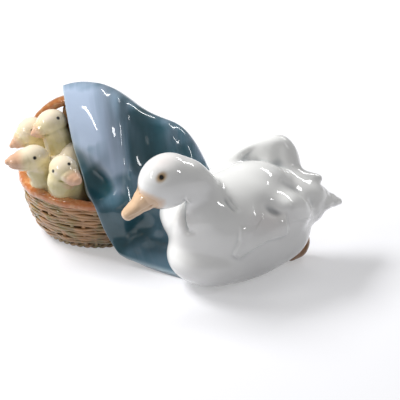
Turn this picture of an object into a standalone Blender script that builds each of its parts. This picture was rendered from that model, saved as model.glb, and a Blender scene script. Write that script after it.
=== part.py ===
"""A glazed porcelain figurine: a duck bends its neck to a basket of four ducklings under a cloth."""

import math

import bmesh
import bpy
from mathutils import Matrix, Vector

MM = 0.001

# Round basket.
BASKET_X = -53.5 * MM
BASKET_Y = 103.5 * MM
FLOOR_RADIUS = 38.0 * MM
WALL_RADIUS = 51.8 * MM
BASKET_HEIGHT = 41.0 * MM
WALL_THICKNESS = 4.5 * MM
WELL_DEPTH = 15.0 * MM
WALL_FULLNESS = 2.2
STAKES = 44
WEAVE_ROWS = 6
STRAND_BULGE = 1.1 * MM
STRAND_WAVE = 0.7 * MM
RIM_THICKNESS = 7.0 * MM
ROPE_THICKNESS = 6.0 * MM
ROPE_TURNS = 30
ROPE_GROOVE = 0.7 * MM
ROPE_STEP_COUNT = 240

# Arch handle, turned a little so that its right end comes nearer; under the cloth it is bent down.
HANDLE_RISE = 61.0 * MM
HANDLE_WIDTH = 12.0 * MM
HANDLE_DEPTH = 7.0 * MM
HANDLE_DIP = 19.0 * MM
HANDLE_FULLNESS = 0.72
HANDLE_TURN = math.radians(-20.0)
HANDLE_STEP_COUNT = 22

# Cloth.
CLOTH_THICKNESS = 2.8 * MM

# Duck: its body's middle on the ground, its heading, and how far its tail reaches behind the middle.
DUCK_X = 50.0 * MM
DUCK_Y = 33.0 * MM
DUCK_HEADING = math.radians(210.0)
TAIL_REACH = 73.0 * MM
HEAD_LENGTH = 43.0 * MM
BILL_THICKNESS = 7.4 * MM

# Ducklings.
DUCKLING_HEAD_LENGTH = 22.6 * MM
DUCKLING_HEAD_WIDTH = 20.2 * MM

# How finely the modelled forms are kept.
CLAY_GRAIN = 1.3 * MM
GLAZE_GRAIN = 0.8 * MM
FIGURINE_TRIANGLES = 11500
CLOTH_LEVELS = 3


def clear_scene():
    for obj in list(bpy.data.objects):
        bpy.data.objects.remove(obj, do_unlink=True)


def collection(name):
    group = bpy.data.collections.new(name)
    bpy.context.scene.collection.children.link(group)
    return group


def mm(x, y, z):
    return Vector((x, y, z)) * MM


def mesh_object(name, bm, group):
    mesh = bpy.data.meshes.new(name)
    bm.to_mesh(mesh)
    bm.free()
    obj = bpy.data.objects.new(name, mesh)
    group.objects.link(obj)
    return obj


def evaluated(obj, name, group):
    """A plain mesh object with obj's modifiers worked in; obj itself goes."""
    bpy.context.view_layer.update()
    graph = bpy.context.evaluated_depsgraph_get()
    mesh = bpy.data.meshes.new_from_object(obj.evaluated_get(graph))
    mesh.transform(obj.matrix_world)
    bpy.data.objects.remove(obj, do_unlink=True)
    done = bpy.data.objects.new(name, mesh)
    group.objects.link(done)
    return done


def add_ball(bm, centre, radii, axis=None, near=None, segments=24):
    """An ellipsoid; its first radius lies along axis and its second toward near."""
    turn = Matrix.Identity(4)
    if axis is not None:
        first = Vector(axis).normalized()
        second = Vector(near if near is not None else (0, -1, 0))
        third = first.cross(second).normalized()
        second = third.cross(first)
        turn = Matrix((first, second, third)).transposed().to_4x4()
    place = Matrix.Translation(centre) @ turn @ Matrix.Diagonal((*radii, 1.0))
    ball = bmesh.new()
    bmesh.ops.create_uvsphere(ball, u_segments=segments, v_segments=segments // 2, radius=1.0, matrix=place)
    mesh = bpy.data.meshes.new("ball")
    ball.to_mesh(mesh)
    ball.free()
    bm.from_mesh(mesh)
    bpy.data.meshes.remove(mesh)


def add_limb(bm, stations, flat=1.0, near=None):
    """Balls along a smooth path through (point, radius) stations; flat squeezes them across near."""
    points = [Vector(p) for p, _ in stations]
    radii = [r for _, r in stations]
    ends = [points[0] * 2 - points[1], *points, points[-1] * 2 - points[-2]]
    for i in range(len(points) - 1):
        a, b, c, d = ends[i : i + 4]
        steps = min(8, max(3, int((c - b).length / (0.35 * min(radii[i], radii[i + 1])))))
        for k in range(steps + 1):
            t = k / steps
            place = 0.5 * (
                2 * b + (c - a) * t + (2 * a - 5 * b + 4 * c - d) * t**2 + (3 * b - a - 3 * c + d) * t**3
            )
            ease = t * t * (3 - 2 * t)
            radius = radii[i] * (1 - ease) + radii[i + 1] * ease
            add_ball(bm, place, (radius, radius * flat, radius), axis=c - b, near=near, segments=16)


def clay(name, bm, group, grain, smoothing, faces=None):
    """Melts the overlapping forms in bm into one closed form, thinned to so many triangles if given."""
    rough = mesh_object(name + "_rough", bm, group)
    melt = rough.modifiers.new("Melt", "REMESH")
    melt.mode = "VOXEL"
    melt.voxel_size = grain
    soften = rough.modifiers.new("Soften", "SMOOTH")
    soften.factor = 0.6
    soften.iterations = smoothing
    form = evaluated(rough, name, group)
    if faces is None:
        return form
    thin = form.modifiers.new("Thin", "DECIMATE")
    thin.ratio = min(1.0, faces / (2 * len(form.data.polygons)))
    return evaluated(form, name, group)


def handle_top():
    return BASKET_HEIGHT + HANDLE_RISE


def from_basket(x, y, above_rim):
    """A point in millimetres from the basket's middle and its rim."""
    return Vector((BASKET_X + x * MM, BASKET_Y + y * MM, BASKET_HEIGHT + above_rim * MM))


def wall_radius(share):
    return FLOOR_RADIUS + (WALL_RADIUS - FLOOR_RADIUS) * (1 - (1 - share) ** WALL_FULLNESS)


def make_woven_wall(group):
    """The basket's outer form: flat woven strands pass in front of and behind the stakes by turns."""
    bm = bmesh.new()
    columns = STAKES * 2
    bottom = ROPE_THICKNESS * 0.5
    rings = []
    steps = WEAVE_ROWS * 2
    heights = [-2 * MM] + [bottom + (BASKET_HEIGHT - bottom) * i / steps for i in range(steps + 1)]
    for level, z in enumerate(heights):
        row = (level - 1) // 2
        crown = level > 1 and (level - 1) % 2 == 1
        ring = []
        for k in range(columns):
            angle = 2 * math.pi * k / columns
            wave = 1.4 * math.cos(STAKES / 2 * angle + math.pi * (row + 0.25))
            proud = STRAND_BULGE + STRAND_WAVE * wave if crown else 0.0
            radius = wall_radius(max(z, 0) / BASKET_HEIGHT) + proud
            ring.append(bm.verts.new((radius * math.cos(angle), radius * math.sin(angle), z)))
        rings.append(ring)
    for low, high in zip(rings, rings[1:]):
        for k in range(columns):
            n = (k + 1) % columns
            bm.faces.new((low[k], low[n], high[n], high[k]))
    bm.faces.new(list(reversed(rings[0])))
    bm.faces.new(rings[-1])
    bmesh.ops.translate(bm, verts=bm.verts, vec=(BASKET_X, BASKET_Y, 0))
    return mesh_object("woven_wall", bm, group)


def turned(name, profile, segments, group):
    """A closed turned form about the basket's middle, from (radius, height) points run top to bottom."""
    bm = bmesh.new()
    rings = []
    for radius, z in profile:
        if radius < 1e-6:
            rings.append([bm.verts.new((0, 0, z))])
            continue
        ring = []
        for k in range(segments):
            angle = 2 * math.pi * k / segments
            ring.append(bm.verts.new((radius * math.cos(angle), radius * math.sin(angle), z)))
        rings.append(ring)
    for high, low in zip(rings, rings[1:]):
        for k in range(segments):
            n = (k + 1) % segments
            if len(high) == 1:
                bm.faces.new((high[0], low[k], low[n]))
            elif len(low) == 1:
                bm.faces.new((high[k], low[0], high[n]))
            else:
                bm.faces.new((high[k], low[k], low[n], high[n]))
    bmesh.ops.translate(bm, verts=bm.verts, vec=(BASKET_X, BASKET_Y, 0))
    return mesh_object(name, bm, group)


def ring_tube(name, radius, height, thickness, around, across, group, twist=0, groove=0.0):
    """A ring about the basket's middle; with a twist it is a rope of two strands."""
    bm = bmesh.new()
    rings = []
    for k in range(around):
        angle = 2 * math.pi * k / around
        ring = []
        for j in range(across):
            turn = 2 * math.pi * j / across
            depth = groove * abs(math.cos(turn + twist * angle / 2))
            reach = thickness / 2 - depth
            out = radius + reach * math.cos(turn)
            up = height + reach * math.sin(turn)
            ring.append(bm.verts.new((out * math.cos(angle), out * math.sin(angle), up)))
        rings.append(ring)
    for k in range(around):
        here = rings[k]
        there = rings[(k + 1) % around]
        for j in range(across):
            n = (j + 1) % across
            bm.faces.new((here[j], there[j], there[n], here[n]))
    bmesh.ops.translate(bm, verts=bm.verts, vec=(BASKET_X, BASKET_Y, 0))
    return mesh_object(name, bm, group)


def make_handle(group):
    """A flat strap that arches from rim to rim."""
    curve = bpy.data.curves.new("handle", "CURVE")
    curve.dimensions = "3D"
    curve.bevel_mode = "ROUND"
    curve.bevel_depth = HANDLE_DEPTH / 2
    curve.bevel_resolution = 1
    curve.use_fill_caps = True
    spline = curve.splines.new("POLY")
    spline.points.add(int(HANDLE_STEP_COUNT))
    sunk = HANDLE_DEPTH / 2
    for i in range(HANDLE_STEP_COUNT + 1):
        turn = math.pi * i / HANDLE_STEP_COUNT
        out = -math.cos(turn)
        dip = HANDLE_DIP * min(max(out / 0.58, 0), 1) * math.sin(turn)
        z = BASKET_HEIGHT - sunk + HANDLE_RISE * abs(math.sin(turn)) ** HANDLE_FULLNESS - dip
        spline.points[i].co = (WALL_RADIUS * out, 0.0, z, 1.0)
    strap = bpy.data.objects.new("handle", curve)
    group.objects.link(strap)
    strap.scale = (1.0, HANDLE_WIDTH / HANDLE_DEPTH, 1.0)
    strap.rotation_euler = (0.0, 0.0, HANDLE_TURN)
    strap.location = (BASKET_X, BASKET_Y, 0.0)
    arch = evaluated(strap, "handle", group)
    weld(arch)
    return arch


def weld(obj):
    bm = bmesh.new()
    bm.from_mesh(obj.data)
    bmesh.ops.remove_doubles(bm, verts=bm.verts, dist=0.02 * MM)
    bmesh.ops.recalc_face_normals(bm, faces=bm.faces)
    bm.to_mesh(obj.data)
    bm.free()


def combine(base, other, operation):
    step = base.modifiers.new(operation.title(), "BOOLEAN")
    step.operation = operation
    step.solver = "EXACT"
    step.object = other
    group = base.users_collection[0]
    done = evaluated(base, base.name, group)
    bpy.data.objects.remove(other, do_unlink=True)
    return done


def make_basket(group):
    """The woven bowl with its well, rolled rim, rope foot and handle."""
    bowl = make_woven_wall(group)
    inside = wall_radius(1.0) - WALL_THICKNESS
    low = BASKET_HEIGHT - WELL_DEPTH
    over = BASKET_HEIGHT + RIM_THICKNESS
    well = turned(
        "well",
        [(0, over), (inside, over), (inside, low + 8 * MM), (inside - 4 * MM, low + 2 * MM),
         (inside - 12 * MM, low), (0, low)],
        64, group,
    )
    bowl = combine(bowl, well, "DIFFERENCE")
    rim_ring = ring_tube("rim", WALL_RADIUS + 0.7 * MM, BASKET_HEIGHT, RIM_THICKNESS, 96, 12, group)
    rope = ring_tube("rope", FLOOR_RADIUS - 0.5 * MM, ROPE_THICKNESS * 0.45, ROPE_THICKNESS,
                     int(ROPE_STEP_COUNT), 12, group, twist=ROPE_TURNS, groove=ROPE_GROOVE)
    return [bowl, rim_ring, rope, make_handle(group)]


# The cloth's rows run from its back hem over the handle, down the front flap, over the rim and out
# along the ground; each row runs from the basket's open side to the duck's side. A point is given in
# millimetres from the basket's middle, and its height in hundredths of the height of the handle's top.
CLOTH_ROWS = [
    [(-16.5, 60.5, 23.5), (-4.5, 65.5, 18.6), (9.5, 60.5, 24.5), (25.5, 62.5, 17.6), (39.5, 49.5, 23.5),
     (53.5, 42.5, 17.6), (65.5, 22.5, 19.6), (75.5, 9.5, 11.8), (83.5, -7.5, 3.9)],
    [(-18.5, 56.5, 43.1), (-4.5, 61.5, 41.2), (9.5, 56.5, 45.1), (25.5, 56.5, 41.2), (41.5, 44.5, 45.1),
     (55.5, 36.5, 39.2), (67.5, 16.5, 38.2), (77.5, 3.5, 27.5), (84.5, -11.5, 17.6)],
    [(-20.5, 39.5, 64.7), (-6.5, 43.5, 67.6), (9.5, 38.5, 69.6), (25.5, 38.5, 65.7), (43.5, 28.5, 65.7),
     (57.5, 22.5, 58.8), (69.5, 6.5, 54.9), (78.5, -3.5, 42.2), (85.5, -15.5, 29.4)],
    [(-23.5, 19.5, 96.1), (-10.5, 21.5, 102), (7.5, 18.5, 101.5), (23.5, 15.5, 94.6), (40.5, 9.5, 77.5),
     (53.5, 4.5, 80.4), (65.5, -2.5, 75.5), (75.5, -9.5, 60.8), (83.5, -18.5, 41.2)],
    [(-23.5, 7.5, 105.4), (-16.5, 5.5, 108.8), (-1.5, 2.5, 109.8), (12.5, 0.5, 104.9), (26.5, -4.5, 97.1),
     (40.5, -6.5, 85.3), (54.5, -8.5, 86.3), (67.5, -13.5, 76.5), (78.5, -19.5, 55.9)],
    [(-22, -7.5, 92.2), (-12.5, -11.5, 98), (1.5, -16.5, 100), (14.5, -21.5, 97.1), (26.5, -14.5, 90.2),
     (40.5, -15.5, 81.4), (54.5, -20.5, 79.4), (68.5, -23.5, 68.6), (79.5, -25.5, 48)],
    [(-18.5, -20.5, 76.5), (-8.5, -26.5, 80.4), (5.5, -32.5, 82.4), (18, -35.5, 78.9), (26.5, -19.5, 69.6),
     (41.5, -18.5, 64.7), (56.5, -28.5, 64.7), (69.5, -32.5, 54.9), (80.5, -33.5, 37.3)],
    [(-12.5, -25.5, 58.8), (-4.5, -32.5, 59.8), (7.5, -41.5, 62.7), (21.5, -46.5, 61.3),
     (29.5, -33.5, 52.9), (42.5, -31.5, 51), (57.5, -37.5, 49), (71.5, -41.5, 39.2), (82.5, -42.5, 23.5)],
    [(-7.5, -43.5, 49), (-0.5, -42.5, 49), (8.5, -46.5, 49), (22.5, -52.5, 47.5), (32.5, -46.5, 43.1),
     (45.5, -45.5, 40.2), (58.5, -47.5, 34.3), (71.5, -50.5, 25.5), (83.5, -51.5, 12.7)],
    [(-0.5, -60.5, 43.1), (5.5, -63, 42.6), (13.5, -63.5, 42.2), (24.5, -61.5, 39.2), (35.5, -56.5, 33.8),
     (46.5, -53.5, 28.4), (59.5, -54.5, 21.6), (72.5, -57.5, 13.7), (86.5, -61.5, 5.9)],
    [(4.5, -58.5, 26.5), (9.5, -58.5, 24.5), (16.5, -56.5, 22.5), (25.5, -52.5, 19.1), (36.5, -48.5, 14.7),
     (48.5, -53.5, 13.7), (61.5, -61.5, 8.8), (74.5, -67.5, 4.9), (91.5, -72.5, 2)],
    [(9.5, -58.5, 16.7), (13.5, -60.5, 13.7), (19.5, -60.5, 11.8), (28.5, -61.5, 10.8), (39.5, -63.5, 8.8),
     (51.5, -67.5, 6.4), (63.5, -72.5, 3.4), (77.5, -79.5, 2.4), (93.5, -79.5, 2.2)],
    [(15.5, -62.5, 8.8), (17.5, -65, 6.9), (24.5, -67.5, 4.7), (33.5, -72.5, 2.9), (45.5, -79, 2.3),
     (56.5, -85, 2.2), (68.5, -91, 2.2), (82.5, -92.5, 2.2), (101.5, -88.5, 2.2)],
]


def make_cloth(group):
    bm = bmesh.new()
    grid = []
    for row in CLOTH_ROWS:
        line = []
        for x, y, height in row:
            line.append(bm.verts.new((BASKET_X + x * MM, BASKET_Y + y * MM, height / 100 * handle_top())))
        grid.append(line)
    for upper, lower in zip(grid, grid[1:]):
        for k in range(len(upper) - 1):
            bm.faces.new((upper[k], lower[k], lower[k + 1], upper[k + 1]))
    cloth = mesh_object("cloth", bm, group)
    fold = cloth.modifiers.new("Drape", "SUBSURF")
    fold.levels = CLOTH_LEVELS
    fold.render_levels = CLOTH_LEVELS
    thick = cloth.modifiers.new("Thickness", "SOLIDIFY")
    thick.thickness = CLOTH_THICKNESS
    thick.offset = -1.0
    return evaluated(cloth, "cloth", group)


BILL_WAY = Vector((-0.72, -0.30, -0.60)).normalized()


def duck_frame():
    ahead = Vector((math.cos(DUCK_HEADING), math.sin(DUCK_HEADING), 0))
    near = Vector((-ahead.y, ahead.x, 0))
    return ahead, near


def on_duck(a, b, z):
    """A point a ahead of the body's middle, b toward the viewer's side and z up, in millimetres."""
    ahead, near = duck_frame()
    return Vector((DUCK_X, DUCK_Y, 0)) + (ahead * a + near * b) * MM + Vector((0, 0, z * MM))


def make_duck(group):
    ahead, near = duck_frame()
    bm = bmesh.new()
    # Body, back, breast and flanks.
    add_ball(bm, on_duck(6, 0, 38), (50 * MM, 37 * MM, 39 * MM), axis=ahead, near=near)
    add_ball(bm, on_duck(-6, -4, 50), (36 * MM, 27 * MM, 29 * MM), axis=ahead, near=near)
    add_ball(bm, mm(28, 17, 21), (32.5 * MM, 32 * MM, 21.5 * MM), axis=ahead, near=near)
    add_limb(bm, [(mm(40, 24, 28), 32 * MM), (mm(52, 31, 29), 32 * MM), (mm(63, 37, 29.5), 29.5 * MM),
                  (mm(73, 41, 28.5), 25 * MM)])
    # Neck and head.
    add_limb(bm, [(mm(34, 14, 29), 22.5 * MM), (mm(31, 8.5, 40), 19 * MM), (mm(28.5, 7.5, 49), 17 * MM),
                  (mm(26.5, 8.5, 56), 15.8 * MM), (mm(24.5, 12, 64.5), 13.8 * MM),
                  (mm(21.5, 12, 71), 13.1 * MM), (mm(18, 11, 76.5), 13.3 * MM), (mm(9, 8, 83), 15.5 * MM),
                  (mm(-2, 5, 83), 17.5 * MM)])
    head = (HEAD_LENGTH / 2, HEAD_LENGTH * 0.43, HEAD_LENGTH * 0.453)
    add_ball(bm, mm(-3.5, 5, 82.5), head, axis=BILL_WAY, near=near)
    # Far shoulder, which shows between the breast and the neck.
    add_ball(bm, mm(11, 40, 42), (21.5 * MM, 17 * MM, 18 * MM), axis=ahead, near=near)
    # Near wing, folded on the flank.
    back = Vector((0, 0, 0.1)) - ahead
    add_ball(bm, on_duck(-6, 20, 44), (36 * MM, 16 * MM, 21 * MM), axis=back, near=near)
    add_limb(bm, [(on_duck(14, 20, 36), 12 * MM), (on_duck(-6, 22, 42), 13 * MM),
                  (on_duck(-26, 17, 46), 13 * MM), (on_duck(-40, 8, 47), 11 * MM)])
    # Far wing, lifted: its leading edge, its rounded tip and the web between them.
    add_limb(bm, [(mm(32, 56, 63), 8 * MM), (mm(44, 64, 69), 6.8 * MM), (mm(56, 70, 74.5), 6.4 * MM),
                  (mm(66, 73, 76), 7.4 * MM), (mm(75, 74.5, 75), 9.8 * MM), (mm(80, 72.5, 67), 10.2 * MM),
                  (mm(80.7, 68, 57), 10.2 * MM), (mm(80, 62, 48), 10.2 * MM)])
    add_limb(bm, [(mm(40, 63, 60), 7 * MM), (mm(54, 70, 65), 7 * MM), (mm(70, 74, 68), 8 * MM)])
    add_limb(bm, [(mm(50, 61, 57), 9 * MM), (mm(66, 66, 57), 10 * MM), (mm(78, 67, 55), 10 * MM)])
    add_ball(bm, mm(70, 70, 65), (12 * MM, 8 * MM, 16 * MM), axis=(1, 0, 0), near=(0, -1, 0))
    return clay("duck", bm, group, CLAY_GRAIN, 30)


def make_tail(group):
    """The flat tail fan, its cover feather and the near wing's tip."""
    near = duck_frame()[1]
    bm = bmesh.new()
    tail = TAIL_REACH / MM
    add_limb(bm, [(on_duck(-22, 0, 39), 25 * MM), (on_duck(-44, 0, 41), 18 * MM),
                  (on_duck(16 - tail, 1, 41), 10.5 * MM)])
    fan = [(on_duck(-44, 0, 41), 10 * MM), (on_duck(15 - tail, 2, 40.5), 6.5 * MM),
           (on_duck(5 - tail, 3, 38.5), 4.4 * MM), (on_duck(-tail, 4, 36.5), 2.8 * MM)]
    add_limb(bm, fan, flat=2.1, near=near)
    add_limb(bm, [(on_duck(-36, -4, 46), 13 * MM), (on_duck(-54, -1, 45), 8 * MM),
                  (on_duck(2 - tail, 3, 39.5), 3.4 * MM)])
    add_limb(bm, [(mm(74, 57, 52), 13 * MM), (mm(86, 61, 54.5), 9 * MM), (mm(96, 63, 56), 5.5 * MM),
                  (mm(102.5, 63.5, 55.5), 3.2 * MM)])
    return clay("tail", bm, group, CLAY_GRAIN, 8)


def make_bill(group):
    near = duck_frame()[1]
    tip = BILL_THICKNESS / 2
    bm = bmesh.new()
    ridge = [(mm(-11, 2, 77), tip * 3), (mm(-17, -0.5, 72.4), tip * 2.08), (mm(-23, -3.3, 67.5), tip * 1.5),
             (mm(-27.5, -5.4, 64.4), tip * 1.26), (mm(-29.8, -6.5, 62.6), tip * 1.12)]
    add_limb(bm, ridge, flat=1.28, near=near)
    return clay("bill", bm, group, CLAY_GRAIN, 3)


def make_foot(group):
    bm = bmesh.new()
    add_limb(bm, [(mm(78, 50, 22), 7 * MM), (mm(89, 54, 14), 7 * MM), (mm(89, 51, 8), 6.5 * MM),
                  (mm(83, 46, 6), 5.8 * MM)])
    return clay("foot", bm, group, CLAY_GRAIN, 3)


def make_duckling(name, head, bill, neck, body, group):
    """One duckling from its head's middle, bill tip, neck and body points."""
    bm = bmesh.new()
    way = (bill - head).normalized()
    width = DUCKLING_HEAD_WIDTH / 2
    add_ball(bm, head, (DUCKLING_HEAD_LENGTH / 2, width, width), axis=way)
    base = head + way * DUCKLING_HEAD_LENGTH * 0.31
    add_limb(bm, [(base, width * 0.66), ((base + bill) / 2, width * 0.46), (bill, width * 0.26)], flat=1.2,
             near=(-way.y, way.x, 0))
    add_limb(bm, [(head, width * 0.9), (neck, width * 1.03), (body, 15.5 * MM)])
    return clay(name, bm, group, CLAY_GRAIN, 4)


DUCKLINGS = {
    "duckling_top": ((-31.5, -7.5, 41.5), (-44.5, -12.5, 36), (-25.5, -10.5, 25), (-18.5, -11.5, 1)),
    "duckling_back": ((-46.5, 2.5, 30.5), (-60, -2.5, 22), (-38.5, 4.5, 19), (-28.5, 8.5, -1)),
    "duckling_left": ((-43.5, -27.5, 23.6), (-61.5, -33.5, 24.2), (-37.5, -25.5, 13), (-30.5, -17.5, -5)),
    "duckling_front": ((-22.1, -41.5, 22), (-12.5, -54, 19.5), (-23.5, -40.5, 11), (-18.5, -23.5, -5)),
}


def make_nest(group):
    """The ducklings' bodies, pressed together in the well, and the mass that carries the cloth."""
    bm = bmesh.new()
    add_ball(bm, from_basket(-22.5, 0.5, -7), (26 * MM, 36 * MM, 20 * MM), axis=(1, 0, 0), near=(0, -1, 0))
    add_ball(bm, from_basket(-18.5, -15.5, 13), (11 * MM, 13 * MM, 18 * MM), axis=(1, 0, 0), near=(0, -1, 0))
    add_limb(bm, [(from_basket(-22.5, -19.5, 17), 7 * MM), (from_basket(-28.5, -23.5, 19), 5 * MM),
                  (from_basket(-32.5, -24.5, 21), 3 * MM)])
    # What the cloth lies on inside: a ridge along its open side, and the mass under the handle.
    rise = HANDLE_RISE / MM
    add_limb(bm, [(from_basket(-21.5, 7.5, rise - 7), 5.5 * MM),
                  (from_basket(-20.5, 3.5, rise * 0.7), 5.5 * MM),
                  (from_basket(-18, -2.5, rise * 0.44), 6.5 * MM), (from_basket(-14.5, -6.5, 5), 8 * MM)])
    add_limb(bm, [(from_basket(1.5, 0.5, rise - 18), 16 * MM), (from_basket(12, 0.5, rise * 0.41), 24 * MM),
                  (from_basket(21, 0.5, 1), 33 * MM)])
    return clay("nest", bm, group, CLAY_GRAIN, 4)


def fire(name, pieces, group):
    """Fuses the pieces, as one glaze covers one casting, and rounds the joints between them a little."""
    bm = bmesh.new()
    for piece in pieces:
        bm.from_mesh(piece.data)
        bpy.data.objects.remove(piece, do_unlink=True)
    return clay(name, bm, group, GLAZE_GRAIN, 1, FIGURINE_TRIANGLES)


def make_standing_space(group):
    """Everything above the ground; what lies below it is ground away."""
    bm = bmesh.new()
    bmesh.ops.create_cube(bm, size=1.0)
    box = mesh_object("standing_space", bm, group)
    box.location = (0, 80 * MM, 100 * MM)
    box.scale = (0.4, 0.4, 0.2)
    return box


def centre_on_base(obj):
    """Puts the origin in the middle of the base box, with +Z up and the shown side toward -Y."""
    xs = [v.co.x for v in obj.data.vertices]
    ys = [v.co.y for v in obj.data.vertices]
    middle = Vector(((min(xs) + max(xs)) / 2, (min(ys) + max(ys)) / 2, 0))
    obj.data.transform(Matrix.Translation(-middle))
    print("base middle in mm", round(middle.x / MM, 3), round(middle.y / MM, 3))


def glaze():
    material = bpy.data.materials.new("glazed_porcelain")
    material.use_nodes = True
    surface = material.node_tree.nodes["Principled BSDF"]
    surface.inputs["Base Color"].default_value = (0.82, 0.83, 0.83, 1.0)
    surface.inputs["Roughness"].default_value = 0.08
    surface.inputs["Metallic"].default_value = 0.0
    return material


def main():
    clear_scene()
    group = collection("duckling_figurine")
    pieces = make_basket(group)
    for name, points in DUCKLINGS.items():
        pieces.append(make_duckling(name, *[from_basket(*point) for point in points], group))
    pieces += [make_nest(group), make_cloth(group), make_duck(group), make_tail(group), make_bill(group)]
    pieces.append(make_foot(group))
    figurine = fire("figurine", pieces, group)
    figurine = combine(figurine, make_standing_space(group), "INTERSECT")
    figurine.name = "figurine"
    centre_on_base(figurine)
    figurine.data.materials.clear()
    figurine.data.materials.append(glaze())
    figurine.data.shade_smooth()
    figurine.data.set_sharp_from_angle(angle=math.radians(40))
    print("faces", len(figurine.data.polygons))


main()
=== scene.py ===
import math
import bmesh
import bpy
import numpy as np
from mathutils import Matrix, Vector, noise
from mathutils.bvhtree import BVHTree


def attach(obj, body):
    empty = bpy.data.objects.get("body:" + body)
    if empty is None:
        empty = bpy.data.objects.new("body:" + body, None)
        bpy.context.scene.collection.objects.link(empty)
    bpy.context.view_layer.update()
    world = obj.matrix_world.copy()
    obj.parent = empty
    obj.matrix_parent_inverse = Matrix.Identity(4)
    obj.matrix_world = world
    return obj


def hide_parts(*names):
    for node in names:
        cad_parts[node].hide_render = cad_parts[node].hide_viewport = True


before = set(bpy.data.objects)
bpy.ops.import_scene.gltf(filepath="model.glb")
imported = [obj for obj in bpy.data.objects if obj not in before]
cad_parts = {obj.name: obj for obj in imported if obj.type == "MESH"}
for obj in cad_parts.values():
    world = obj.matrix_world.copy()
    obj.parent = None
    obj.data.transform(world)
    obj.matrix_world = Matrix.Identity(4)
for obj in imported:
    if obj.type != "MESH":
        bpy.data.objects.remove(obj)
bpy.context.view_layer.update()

mm = 0.001
baseMiddle = Vector((0.401, 76.364, 0)) * mm  # of the base, in the space that the forms are modelled in
viewTilt = math.radians(26.5)  # the figurine is looked down on by this much
towardEye = np.array([0, -math.cos(viewTilt), math.sin(viewTilt)])


def at(x, y, z):
    return Vector((x, y, z)) * mm


def hexColour(code):
    parts = [int(code[i : i + 2], 16) / 255 for i in (1, 3, 5)]
    return tuple(c / 12.92 if c <= 0.04045 else ((c + 0.055) / 1.055) ** 2.4 for c in parts) + (1.0,)


def addNode(tree, kind, settings=None, inputs=None, links=None):
    node = tree.nodes.new(kind)
    for name, value in (settings or {}).items():
        setattr(node, name, value)
    for name, value in (inputs or {}).items():
        node.inputs[name].default_value = value
    for name, source in (links or {}).items():
        tree.links.new(source, node.inputs[name])
    return node


def newPiece(name, mesh):
    piece = bpy.data.objects.new(name, mesh)
    bpy.context.scene.collection.objects.link(piece)
    return piece


def pieceFromFaces(name, points, faces):
    mesh = bpy.data.meshes.new(name)
    mesh.from_pydata([tuple(p) for p in points], [], faces)
    mesh.update()
    return newPiece(name, mesh)


def workIn(piece):  # the modifiers become plain mesh
    bpy.context.view_layer.update()
    graph = bpy.context.evaluated_depsgraph_get()
    mesh = bpy.data.meshes.new_from_object(piece.evaluated_get(graph))
    name = piece.name
    bpy.data.objects.remove(piece, do_unlink=True)
    mesh.name = name
    return newPiece(name, mesh)


# Clay forms: balls and limbs that overlap, then run together


def addBall(form, centre, radii, along=(1, 0, 0), near=(0, -1, 0), segments=32):
    first = Vector(along).normalized()
    third = first.cross(Vector(near)).normalized()
    turn = Matrix((first, third.cross(first), third)).transposed().to_4x4()
    place = Matrix.Translation(centre) @ turn @ Matrix.Diagonal((*[r * mm for r in radii], 1.0))
    ball = bmesh.new()
    bmesh.ops.create_uvsphere(ball, u_segments=segments, v_segments=segments // 2, radius=1.0, matrix=place)
    mesh = bpy.data.meshes.new("ball")
    ball.to_mesh(mesh)
    ball.free()
    form.from_mesh(mesh)
    bpy.data.meshes.remove(mesh)


def addLimb(form, stations, flat=1.0, near=(0, -1, 0)):  # balls strung smoothly through (point, radius)
    points = [Vector(p) for p, _ in stations]
    radii = [r for _, r in stations]
    ends = [points[0] * 2 - points[1], *points, points[-1] * 2 - points[-2]]
    for i in range(len(points) - 1):
        a, b, c, d = ends[i : i + 4]
        steps = min(16, max(4, int((c - b).length / mm / (0.18 * min(radii[i], radii[i + 1])))))
        for k in range(steps + 1):
            t = k / steps
            bend = (2 * a - 5 * b + 4 * c - d) * t**2 + (3 * b - a - 3 * c + d) * t**3
            ease = t * t * (3 - 2 * t)
            radius = radii[i] * (1 - ease) + radii[i + 1] * ease
            addBall(form, b + 0.5 * ((c - a) * t + bend), (radius, radius * flat, radius), c - b, near, 20)


def melted(name, form, grain, soften):
    mesh = bpy.data.meshes.new(name)
    form.to_mesh(mesh)
    form.free()
    rough = newPiece(name, mesh)
    melt = rough.modifiers.new("melt", "REMESH")
    melt.mode = "VOXEL"
    melt.voxel_size = grain * mm
    smooth = rough.modifiers.new("soften", "SMOOTH")
    smooth.factor = 0.6
    smooth.iterations = soften
    return workIn(rough)


def readMesh(mesh):
    count = len(mesh.vertices)
    where = np.empty(count * 3)
    mesh.vertices.foreach_get("co", where)
    normal = np.empty(count * 3)
    mesh.vertices.foreach_get("normal", normal)
    return where.reshape(-1, 3), normal.reshape(-1, 3)


def writeMesh(mesh, where):
    mesh.vertices.foreach_set("co", where.ravel())
    mesh.update()


def trimGround(piece):  # nothing goes below what the figurine stands on
    where, _ = readMesh(piece.data)
    where[:, 2] = np.maximum(where[:, 2], 0)
    writeMesh(piece.data, where)


def store(mesh, name, values):
    if name not in mesh.attributes:
        mesh.attributes.new(name, "FLOAT", "POINT")
    mesh.attributes[name].data.foreach_set("value", np.ascontiguousarray(values, dtype=np.float32))


def smoothstep(low, high, value):
    t = np.clip((value - low) / (high - low), 0, 1)
    return t * t * (3 - 2 * t)


# Sculpting and airbrushing: strokes are placed in millimetres across and up, as the figurine is looked at


def seenFlat(where):
    up = where[:, 2] * math.cos(viewTilt) + where[:, 1] * math.sin(viewTilt)
    return np.c_[where[:, 0], up] / mm


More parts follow.
